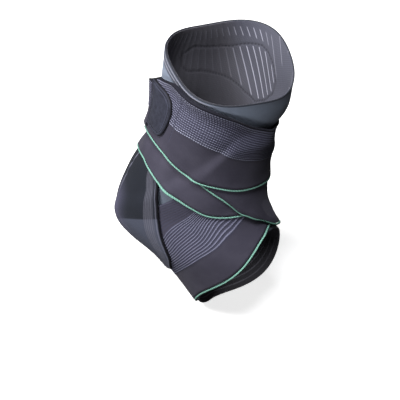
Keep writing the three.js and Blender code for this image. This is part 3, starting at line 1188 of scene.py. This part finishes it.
@dataclass
class HeelPanel:
    """The smooth panel over the heel, with a rolled hem and a back seam."""

    form: AnkleForm
    wall: float = 1.2
    hem_rise: float = 1.0
    hem_width: float = 3.2
    cord: float = 1.0
    gap: float = 0.5
    seam_out: float = 25.6
    seam_rise: float = 0.4
    ribbed: tuple[float, float] = (3.2, 9.4)
    rib_pitch: float = 1.24
    rib_rise: float = 0.16
    line_rise: float = 0.22
    climb_start: float = 4.0
    climb_run: float = 11.0
    rows: int = 130
    hem_path: Rows = (
        (3.1, 102), (3.5, 98.5), (4.0, 91), (4.65, 86), (5.5, 85), (6.25, 90.5), (6.88, 103.5),
        (7.25, 121),
    )  # fmt: skip

    def hem_angle(self, level: Array) -> Array:
        """Find the hem's angle on the outer side."""
        return along(self.hem_path, level)

    def rise(self, angle: Array, length: Array) -> Array:
        """Find how much the panel lifts what crosses it.

        Args:
            angle: Degrees round the leg.
            length: Length from the collar.

        Returns:
            The added height.
        """
        top, end = self.hem_path[0][0], self.hem_path[-1][0]
        level = self.form.level_at(angle, length)
        hem = self.hem_angle(np.clip(level, top, end))
        turned = np.abs(np.mod(angle, 360) - 180) - (180 - hem)
        past = turned * RAD * self.form.brace_width / 2
        above = np.maximum(0, self.form.length_at(angle, top) - length)
        below = np.maximum(0, length - self.form.length_at(angle, end))
        away = np.sqrt(np.maximum(0, past) ** 2 + above**2 + below**2)
        beside = np.maximum(np.maximum(past, -past - self.hem_width), 0)
        beside = np.sqrt(beside**2 + above**2 + below**2)
        reach = self.climb_start + self.climb_run
        return (self.wall + self.gap) * ease((reach - away) / self.climb_run) + (
            self.hem_rise * ease((reach - beside) / self.climb_run)
        )

    def profile(self, past: Array) -> Array:
        """Give the thickness by the distance from the hem's edge.

        Args:
            past: Distance from the hem's edge.

        Returns:
            The thicknesses.
        """
        hem = self.hem_rise * 0.25 * hump(past, self.cord / 2, self.cord / 2)
        rolled = 0.75 * self.wall * (1 - ease(past / 0.6))
        line = self.line_rise * hump(past, self.cord + 0.7, 0.4)
        start, end = self.ribbed
        wave = 0.5 - 0.5 * np.cos((past - start) / self.rib_pitch * 2 * math.pi)
        ribs = self.rib_rise * np.where((past > start) & (past < end), wave, 0)
        return self.wall + hem - rolled + line + ribs

    def build(self, strap: "StrapRoute") -> bpy.types.Object:
        """Make the panel over the strap's first turn.

        Args:
            strap: The strap's route, which the panel crosses.

        Returns:
            The panel.
        """
        top, end = self.hem_path[0][0], self.hem_path[-1][0]
        level = np.linspace(top, end, self.rows)[:, None]
        scale = RAD * self.form.brace_width / 2
        near = np.concatenate(
            [[0, 0.12, 0.35, 0.7], np.arange(1.1, 3.2, 0.42), np.arange(3.2, 11, 0.31)]
        )
        half = (180 - self.hem_angle(level)) * scale
        share = np.linspace(0, 1, 26)[None, 1:]
        inner = 11.2 + (half - 11.2) * share**0.9
        past = np.concatenate([near[None, :] + 0 * half, inner], axis=1)
        angle = self.hem_angle(level) + past / scale
        mirrored = np.concatenate([angle, 360 - angle[:, -2::-1]], axis=1)
        from_hem = np.concatenate([past, past[:, -2::-1]], axis=1)
        thick = self.profile(from_hem)
        seam = self.seam_rise * hump(np.abs(mirrored - 180) * scale, self.seam_out, 0.9)
        length = self.form.length_at(mirrored, level)
        low = strap.panel_height(mirrored, length)
        under = np.linspace(0, mirrored.shape[1] - 1, 40).astype(int)[::-1][1:-1]
        angles = np.concatenate([mirrored, mirrored[:, under]], axis=1)
        lengths = np.concatenate([length, length[:, under]], axis=1)
        heights = np.concatenate([low + thick + seam, low[:, under]], axis=1)
        chart_a = np.concatenate([angles * scale, angles[:, :1] * scale], axis=1)
        chart_b = np.concatenate([lengths, lengths[:, :1]], axis=1)
        hems = np.concatenate([from_hem, from_hem[:, under], from_hem[:, :1]], axis=1)
        cloth = Cloth()
        points = self.form.place(angles, lengths, heights)
        first = cloth.add_grid(
            points,
            np.stack([chart_a, chart_b], axis=-1),
            np.stack([hems, chart_b], axis=-1),
            ring=True,
        )
        wide = mirrored.shape[1]
        cloth.close_ends(first, points.shape[:2], wide, np.array([20.0, 50.0]))
        finish = PanelFinish(self.seam_out, self.ribbed, self.rib_pitch)
        return cloth.piece("heel_panel", finish.material())


@dataclass
class StrapRoute:
    """How the strap winds: its borders, and how high each turn lies on those below."""

    form: AnkleForm
    panel: HeelPanel
    width: float = 52.5
    wall: float = 1.45
    gap: float = 0.45
    edge_width: float = 1.5
    edge_gap: float = 0.15
    rim_margin: float = 0.9
    tuck: float = 2.0
    skew_least: float = 0.72
    start: float = 222.0
    end: float = 1521.0
    panel_after: float = 242.0
    climb_start: float = 4.0
    climb_run: float = 15.0
    start_ahead: float = 34.0
    start_run: float = 22.0
    path: Rows = (
        (0, 7.6), (42, 7.85), (78, 7.96), (129, 7.98), (180, 7.98), (205, 7.96), (223, 7.75),
        (262, 7.2), (302, 6.2), (330, 5.3), (360, 4.5), (400, 3.8), (425, 3.4), (455, 3.22),
        (473, 3.33), (495, 3.7), (510, 4.0), (523, 4.35), (533, 4.73), (545, 5.1),
        (555, 5.38), (566, 5.62), (600, 5.95), (640, 5.7), (680, 4.9), (720, 3.9),
        (760, 2.95), (800, 2.35), (830, 2.2), (855, 2.45), (876, 2.93), (898, 3.6),
        (913, 4.3), (925, 5.55), (936, 6.68), (945, 7.6), (955, 7.93), (975, 7.7),
        (1000, 7.0), (1035, 5.8), (1070, 4.75), (1110, 3.62), (1145, 2.74), (1172, 2.46),
        (1198, 2.48), (1211, 2.62), (1232, 2.9), (1257, 3.18), (1278, 3.48), (1295, 3.65),
        (1326, 3.95), (1365, 3.95), (1405, 3.7), (1450, 3.25), (1490, 2.8), (1525, 2.38),
        (1570, 2.2),
    )  # fmt: skip
    spread: Rows = (
        (0, 1.2), (100, 1.32), (133, 1.39), (147, 1.41), (175, 1.4), (200, 1.3), (240, 1.14),
        (300, 1.04), (420, 1), (1130, 1), (1167, 0.86), (1194, 1.04), (1218, 1.12),
        (1236, 1.17), (1250, 1.1), (1264, 1), (1286, 0.95), (1318, 0.88), (1400, 0.84),
        (1460, 0.74), (1480, 0.64), (1496, 0.615), (1508, 0.655), (1521, 0.69),
        (1545, 0.73), (1570, 0.74),
    )  # fmt: skip
    plain_share: Rows = (
        (0, 0.31), (102, 0.295), (130, 0.302), (149, 0.306), (159, 0.292), (169, 0.265),
        (180, 0.236), (190, 0.23), (200, 0.25), (300, 0.42), (545, 0.42), (590, 0.62),
        (800, 0.62), (1020, 0.64), (1080, 0.5), (1150, 0.42), (1203, 0.405), (1223, 0.47),
        (1241, 0.476), (1261, 0.495), (1283, 0.483), (1299, 0.455), (1570, 0.46),
    )  # fmt: skip
    margin_share: Rows = (
        (0, 0.38), (126, 0.361), (141, 0.325), (153, 0.304), (162, 0.29), (175, 0.22),
        (200, 0.12), (300, 0.04), (1100, 0.04), (1180, 0.02), (1570, 0.02),
    )  # fmt: skip

    def __post_init__(self) -> None:
        """Work out the borders for every degree wound."""
        self.turns = np.arange(0, self.path[-1][0] + 1.0)
        angle = self.start - self.turns
        level = along(self.path, self.turns)
        total = self.form.total(angle)
        low = np.minimum(self.form.length_at(angle, level), total - self.rim_margin)
        before = np.clip(self.turns - 16, 0, self.turns[-1])
        after = np.clip(self.turns + 16, 0, self.turns[-1])
        run = self.route_point(after) - self.route_point(before)
        middle = self.form.level_at(angle, low - self.width / 2)
        top = self.form.point(angle, self.form.level_at(angle, low - self.width * 0.75))
        across = top - self.form.point(angle, np.minimum(middle + 0.4, self.form.last))
        lengths = np.linalg.norm(run, axis=1) * np.linalg.norm(across, axis=1)
        skew = np.linalg.norm(np.cross(run, across), axis=1) / lengths
        spread = along(self.spread, self.turns)
        high = low - self.width * spread / np.maximum(skew, self.skew_least)
        high = np.maximum(high, self.rim_margin)
        for i in range(len(self.turns) - 1, -1, -1):
            if self.turns[i] + 360 <= self.end:
                high[i] = max(high[i], high[i + 360] + self.tuck)
        self.low, self.high = low, softened(high, 4.0)
        steps = np.linalg.norm(np.diff(self.route_point(self.turns), axis=0), axis=1)
        self.run = np.concatenate([[0], np.cumsum(steps)])

    def route_point(self, turned: Array) -> Array:
        """Find the lower border's point on the face."""
        return self.form.point(self.start - turned, along(self.path, turned))

    def borders(self, turned: Array) -> tuple[Array, Array]:
        """Find the lower and upper border, as lengths from the collar."""
        return np.interp(turned, self.turns, self.low), np.interp(turned, self.turns, self.high)

    def length_run(self, turned: Array) -> Array:
        """Measure along the strap from its start."""
        return np.interp(turned, self.turns, self.run)

    def started(self, turned: Array) -> Array:
        """Find how far the strap has begun, 0 ahead of its start and 1 soon after."""
        return ease((turned + self.start_ahead) / self.start_run)

    def over(self, turned: Array, length: Array) -> Array:
        """Find how much a turn below counts at a length, 1 over it and 0 well past it.

        Args:
            turned: Degrees wound by the turn below.
            length: Length from the collar.

        Returns:
            The shares.
        """
        counts = []
        for aside in (-4.0, 0.0, 4.0):
            low, high = self.borders(np.clip(turned + aside, 0, self.end))
            reach = self.climb_start + self.climb_run
            counts.append(
                ease((length - high + reach) / self.climb_run)
                * ease((low + reach - length) / self.climb_run)
            )
        return np.maximum.reduce(counts)

    def height(self, turned: Array, length: Array) -> Array:
        """Find the height of the strap's underside over the sleeve.

        Args:
            turned: Degrees wound.
            length: Length from the collar.

        Returns:
            The heights.
        """
        turned, length = np.broadcast_arrays(turned, length)
        height = np.full(turned.shape, self.gap)
        for count in range(1, 5):
            below = turned - 360 * count
            lift = (self.wall + self.gap) * self.over(below, length)
            height = height + lift * self.started(below)
        lifted = self.panel.rise(self.start - turned, length)
        return height + lifted * ease((turned - self.panel_after + 6) / 6)

    def panel_height(self, angle: Array, length: Array) -> Array:
        """Find the height of the heel panel's underside over the sleeve.

        Args:
            angle: Degrees round the leg.
            length: Length from the collar.

        Returns:
            The heights.
        """
        turned = self.start - np.mod(angle, 360)
        started = self.started(turned) * (turned <= self.panel_after)
        lift = (self.wall + self.gap) * self.over(turned, length) * started
        return self.panel.gap + lift


@dataclass
class Strap:
    """The webbing of the strap."""

    route: StrapRoute
    ribs: int = 16
    fine_ribs: int = 9
    rib_depth: float = 0.3
    fine_depth: float = 0.12
    border: float = 0.35
    border_share: float = 0.55
    under_share: float = 0.25
    step: float = 1.75

    def across(self) -> tuple[Array, Array]:
        """Choose the points across the strap.

        Returns:
            Their place in strap units (0 to 1 plain, to 2 ribbed, to 3 fine ribs), and the
            distance from the nearest border that rounds it.
        """
        plain = np.linspace(0, 1, 11)[:-1]
        ribbed = 1 + np.linspace(0, 1, 4 * self.ribs + 1)[:-1]
        fine = 2 + np.linspace(0, 1, 2 * self.fine_ribs + 1)
        return np.concatenate([[0, 0], plain[1:], ribbed, fine[:-1], [3, 3]]), np.concatenate(
            [[0, self.border], np.full(9 + len(ribbed) + len(fine) - 1, 9.0), [self.border, 0]]
        )

    def build(self) -> bpy.types.Object:
        """Make the strap as one long ribbed band.

        Returns:
            The strap.
        """
        route = self.route
        turned = np.append(np.arange(0, route.end - 0.5 * self.step, self.step), route.end)
        turned = turned[:, None]
        low, high = route.borders(turned)
        low = low - route.edge_width - route.edge_gap
        unit, rounding = self.across()
        plain = along(route.plain_share, turned)
        margin = along(route.margin_share, turned)
        share = np.where(
            unit <= 1,
            unit * plain,
            np.where(
                unit <= 2,
                plain + (unit - 1) * (1 - plain - margin),
                1 - margin + (unit - 2) * margin,
            ),
        )
        length = low + (high - low) * share
        length[:, 1] -= self.border
        length[:, -2] += self.border
        ridge = np.where(
            unit <= 1,
            0.0,
            np.where(
                unit <= 2,
                self.rib_depth * (0.5 - 0.5 * np.cos((unit - 1) * self.ribs * 2 * math.pi)),
                self.fine_depth * (0.5 - 0.5 * np.cos((unit - 2) * self.fine_ribs * 2 * math.pi)),
            ),
        )
        top = np.where(rounding == 0, self.border_share * route.wall, route.wall) + ridge
        under = np.linspace(0, len(unit) - 1, 12).astype(int)[::-1]
        lengths = np.concatenate([length, length[:, under]], axis=1)
        low_height = route.height(turned + 0 * lengths, lengths)
        add = np.concatenate([top, np.zeros(len(under))])
        add[len(unit)] = add[-1] = self.under_share * route.wall
        angle = route.start - turned
        points = route.form.place(angle, lengths, low_height + add)
        units = np.concatenate([unit, unit[under], unit[:1]])
        chart = np.broadcast_to(units, (len(turned), len(units)))
        run = route.length_run(turned) + 0 * chart
        cloth = Cloth()
        weave = np.stack([run, chart], axis=-1)
        place = np.stack([turned / 100 + 0 * chart, chart], axis=-1)
        first = cloth.add_grid(points, weave, place, ring=True)
        cloth.close_ends(first, points.shape[:2], len(unit), weave[0, 3], shared=False)
        return cloth.piece("strap", StrapFinish(self.ribs, self.fine_ribs).material())


@dataclass
class StrapEdge:
    """The green edge along the strap's lower border."""

    route: StrapRoute
    step: float = 1.75
    end: float = 1488.0
    facets: int = 8

    def build(self) -> bpy.types.Object:
        """Make the edge as one thin flattened cord.

        Returns:
            The edge.
        """
        route = self.route
        turned = np.append(np.arange(0, self.end - 0.5 * self.step, self.step), self.end)
        turned = turned[:, None]
        low, _ = route.borders(turned)
        around = np.arange(self.facets)[None, :] * 2 * math.pi / self.facets
        half = route.edge_width / 2
        lengths = low - half + half * np.cos(around)
        thick = route.wall / 2
        heights = route.height(turned + 0 * lengths, lengths) + thick + thick * np.sin(around)
        points = route.form.place(route.start - turned, lengths, heights)
        turn = np.linspace(0, 1, self.facets + 1)[None, :]
        chart = np.stack(np.broadcast_arrays(route.length_run(turned), turn), axis=-1)
        cloth = Cloth()
        first = cloth.add_grid(points, chart, ring=True)
        cloth.close_ends(first, points.shape[:2], self.facets // 2 + 1, chart[0, 0])
        return cloth.piece("strap_edge", EdgeFinish().material())


@dataclass
class HookTab:
    """The round-ended tab that closes the strap."""

    route: StrapRoute
    length: float = 26.4
    wall: float = 1.5
    gap: float = 0.3
    rim: float = 0.9
    groove_in: float = 2.6
    groove_depth: float = 0.4
    pillow: float = 0.2
    rim_drop: float = 0.55
    centre: tuple[float, float] = (0.46, -0.15)
    half_width: float = 20.0
    rings_near: tuple[float, ...] = (0, 0.15, 0.5, 0.9, 1.6, 2.2, 2.6, 3.0, 3.6, 4.4, 5.4)
    rings_far: tuple[float, ...] = (0.2, 0.4, 0.6, 0.8, 0.94)
    upper: Rows = (
        (0, 1.14), (0.27, 1.05), (0.46, 1.0), (0.6, 0.96), (0.79, 0.83), (0.9, 0.7),
        (0.97, 0.52), (1, 0.27),
    )  # fmt: skip
    lower: Rows = (
        (0, 0.73), (0.39, 0.76), (0.58, 0.78), (0.7, 0.77), (0.8, 0.69), (0.88, 0.51),
        (0.945, 0.22), (0.985, -0.06), (1, -0.27),
    )  # fmt: skip

    def contour(self) -> Array:
        """Give the outline, as shares of the length and of the half width.

        Returns:
            Its points, round the tab from the lower corner at the strap.
        """
        share = 1 - (1 - np.linspace(0, 1, 44)) ** 2
        top, bottom = -along(self.upper, share), along(self.lower, share)
        start = np.linspace(bottom[0], top[0], 24)[1:-1]
        below = np.stack([share, bottom], axis=1)
        above = np.stack([share[-2::-1], top[-2::-1]], axis=1)
        base = np.stack([np.zeros_like(start), start[::-1]], axis=1)
        return np.concatenate([below, above, base])

    def build(self) -> bpy.types.Object:
        """Make the tab as rings that shrink to its middle, over and under.

        Returns:
            The tab.
        """
        route = self.route
        scale = RAD * route.form.brace_width / 2
        line = self.contour()
        centre = np.array(self.centre)
        stretch = np.array([self.length, self.half_width])
        reach = np.linalg.norm((line - centre) * stretch, axis=1)[:, None]
        near = np.array(self.rings_near)[None, :] + 0 * reach
        last = self.rings_near[-1]
        far = last + (reach - last) * np.array(self.rings_far)
        insets = np.concatenate([near, far], axis=1)
        heights = self.wall - self.rim_drop * (1 - ease(insets / self.rim)) * self.wall
        heights = heights - self.groove_depth * hump(insets, self.groove_in, 0.7)
        heights = heights + self.pillow * ease((insets - 3.4) / 3)
        keep = 1 - insets / reach
        shares = centre + (line - centre)[:, None, :] * keep[..., None]
        shares = np.concatenate([shares, np.broadcast_to(centre, (len(line), 1, 2))], axis=1)
        heights = np.concatenate([heights, heights[:, -1:]], axis=1)
        turned = route.end + self.gap / scale + shares[..., 0] * self.length / scale
        low, high = route.borders(np.minimum(turned, route.turns[-1]))
        middle, half = (low + high) / 2, (low - high) / 2
        lengths = middle + half * shares[..., 1]
        base = route.height(turned, lengths)
        top = route.form.place(route.start - turned, lengths, base + heights)
        bottom = route.form.place(route.start - turned, lengths, base)
        flat = np.stack([turned * scale, lengths], axis=-1)
        run = np.concatenate([[0], np.cumsum(np.linalg.norm(np.diff(top[:, 6], axis=0), axis=1))])
        ring = np.stack(np.broadcast_arrays(insets, run[:, None]), axis=-1)
        cloth = Cloth()
        both = np.concatenate([bottom[:, -2::-1], top[:, :-1]], axis=1)
        chart = np.concatenate([flat[:, -2::-1], flat[:, :-1]], axis=1)
        place = np.concatenate([ring[:, ::-1], ring], axis=1)
        chart, place = (np.concatenate([c, c[:1]], axis=0) for c in (chart, place))
        first = cloth.add_grid(both, chart, place, loop=True)
        count = both.shape[1]
        for column, face, flip in ((0, bottom, False), (count - 1, top, True)):
            rim = [first + row * count + column for row in range(len(line))]
            cloth.add_fan(rim, face[0, -1], flat[0, -1], place[0, -1], flip)
        return cloth.piece("hook_tab", TabFinish().material())


@dataclass(frozen=True)
class Lamp:
    """One soft light: its place round the leg and over the floor in degrees, and its power."""

    name: str
    angle: float
    height: float
    distance: float
    size: float
    watts: float
    tone: Colour = (1.0, 1.0, 1.0)


@dataclass
class Studio:
    """The floor, the lights and the camera."""

    azimuth: float = 27.0
    elevation: float = 40.0
    roll: float = 15.0
    distance: float = 1.0
    lens: float = 140.4
    aim: tuple[float, float] = (0.00192, -0.00192)
    sky: float = 0.075
    floor_reach: float = 6.0
    floor_glow: float = 0.7
    floor_gap: float = 0.0002
    lamps: tuple[Lamp, ...] = (
        Lamp("key", 126, 40, 2.0, 0.6, 46, (1.0, 0.985, 0.96)),
        Lamp("top", 92, 64, 1.7, 0.45, 26, (0.97, 0.98, 1.0)),
        Lamp("front", 92, 4, 1.6, 0.5, 15),
    )

    def floor(self, level: float) -> bpy.types.Object:
        """Lay a wide pale floor.

        Args:
            level: Its height.

        Returns:
            The floor.
        """
        mesh = bpy.data.meshes.new("floor")
        reach = self.floor_reach
        corners = [(-reach, -reach), (reach, -reach), (reach, reach), (-reach, reach)]
        mesh.from_pydata([(x, y, level) for x, y in corners], [], [(0, 1, 2, 3)])
        paper = Graph("floor_paper").finish(
            base_color=(0.9, 0.9, 0.9),
            roughness=0.9,
            emission_color=(1, 1, 1),
            emission_strength=self.floor_glow,
        )
        mesh.materials.append(paper)
        made = bpy.data.objects.new("floor", mesh)
        bpy.context.scene.collection.objects.link(made)
        return made

    def light(self, lamp: Lamp) -> None:
        """Hang one soft square light that faces the brace.

        Args:
            lamp: The light.
        """
        data = bpy.data.lights.new(lamp.name, "AREA")
        data.shape, data.size, data.energy = "SQUARE", lamp.size, lamp.watts
        data.color = lamp.tone
        made = bpy.data.objects.new(lamp.name, data)
        angle, height = lamp.angle * RAD, lamp.height * RAD
        flat = math.cos(height)
        place = Vector((math.cos(angle) * flat, -math.sin(angle) * flat, math.sin(height)))
        made.location = place * lamp.distance
        made.rotation_euler = (-place).to_track_quat("-Z", "Y").to_euler()
        bpy.context.scene.collection.objects.link(made)

    def axes(self) -> tuple[Vector, Vector, Vector]:
        """Give the view's right, up and backward directions.

        Returns:
            The three directions.
        """
        az, el, roll = (v * RAD for v in (self.azimuth, self.elevation, self.roll))
        flat = math.cos(el)
        back = Vector((flat * math.sin(az), -flat * math.cos(az), math.sin(el)))
        level = Vector((math.cos(az), math.sin(az), 0))
        rise = back.cross(level)
        right = math.cos(roll) * level + math.sin(roll) * rise
        return right, -math.sin(roll) * level + math.cos(roll) * rise, back

    def build(self, level: float) -> None:
        """Set up the studio.

        Args:
            level: Height of the lowest point that stands over the floor.
        """
        floor = self.floor(level - self.floor_gap)
        floor.visible_diffuse = floor.visible_glossy = False
        right, up, back = self.axes()
        for lamp in self.lamps:
            self.light(lamp)
        world = bpy.data.worlds.new("studio")
        world.use_nodes = True
        world.node_tree.nodes["Background"].inputs[0].default_value = (1, 1, 1, 1)
        world.node_tree.nodes["Background"].inputs[1].default_value = self.sky
        scene = bpy.context.scene
        scene.world = world
        scene.view_settings.view_transform = "Standard"
        data = bpy.data.cameras.new("camera")
        data.lens, data.sensor_width = self.lens, 36.0
        camera = bpy.data.objects.new("camera", data)
        place = right * self.aim[0] + up * self.aim[1] + back * self.distance
        turn = Matrix((right, up, back)).transposed().to_4x4()
        camera.matrix_world = Matrix.Translation(place) @ turn
        scene.collection.objects.link(camera)
        scene.camera = camera


@dataclass(frozen=True)
class Cut:
    """A sheet laid flat: the width and length that hold it, and its area."""

    width: float
    length: float
    area: float


@dataclass
class AnkleBrace:
    """The whole brace."""

    form: AnkleForm = field(default_factory=AnkleForm)
    cuts: dict[str, Cut] = field(
        default_factory=lambda: {
            "sleeve_shell": Cut(248, 238, 40000),
            "knit_lining": Cut(240, 236, 39000),
            "heel_panel": Cut(150, 120, 12800),
            "strap": Cut(52.5, 1109, 55200),
            "hook_tab": Cut(26.4, 39.0, 870),
        }
    )

    def place(self, piece: bpy.types.Object, slot: str) -> bpy.types.Object:
        """Put a piece in its node's place and report it.

        Args:
            piece: The piece, with the name of its node.
            slot: Not used.

        Returns:
            The piece.
        """
        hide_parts(piece["node"])
        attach(piece, "root")
        log.info("%s: %d faces", piece.name, len(piece.data.polygons))
        return piece

    def declare(self, made: dict[str, tuple[bpy.types.Object, str]]) -> None:
        """Pair each piece with the pieces it rests on and look up its cut size, doing nothing
        further with them.

        Args:
            made: Each slot's piece and node.
        """
        shell, lining, panel, strap, edge, tab = (piece for piece, _ in made.values())
        rests = {
            lining: ([], []),
            shell: ([lining], []),
            panel: ([shell, strap], []),
            strap: ([shell, panel], [edge]),
            tab: ([strap], []),
        }
        for piece, (below, on_it) in rests.items():
            cut = self.cuts[piece["node"]]
            cut.width * MM

    def build(self) -> list[bpy.types.Object]:
        """Build every piece, from the inside out.

        Returns:
            The pieces.
        """
        panel = HeelPanel(self.form)
        route = StrapRoute(self.form, panel)
        sleeve = Sleeve(self.form)
        made = {
            "shell": (sleeve.shell(), "sleeve_shell"),
            "lining": (sleeve.lining(), "knit_lining"),
            "panel": (panel.build(route), "heel_panel"),
            "strap": (Strap(route).build(), "strap"),
            "edge": (StrapEdge(route).build(), "strap_edge"),
            "tab": (HookTab(route).build(), "hook_tab"),
        }
        for slot, (piece, node) in made.items():
            piece["node"] = node
            piece.name = f"soft_{node}"
            self.place(piece, slot)
        self.declare(made)
        return [piece for piece, _ in made.values()]


def lowest(pieces: Sequence[bpy.types.Object]) -> float:
    """Find the lowest point of some pieces, in metres."""
    return min(v.co.z for piece in pieces for v in piece.data.vertices)


def main() -> None:
    """Build the brace and the studio."""
    logging.basicConfig(level=logging.INFO, format="%(message)s")
    pieces = AnkleBrace().build()
    Studio().build(lowest(pieces))


if __name__ == "__main__":
    main()
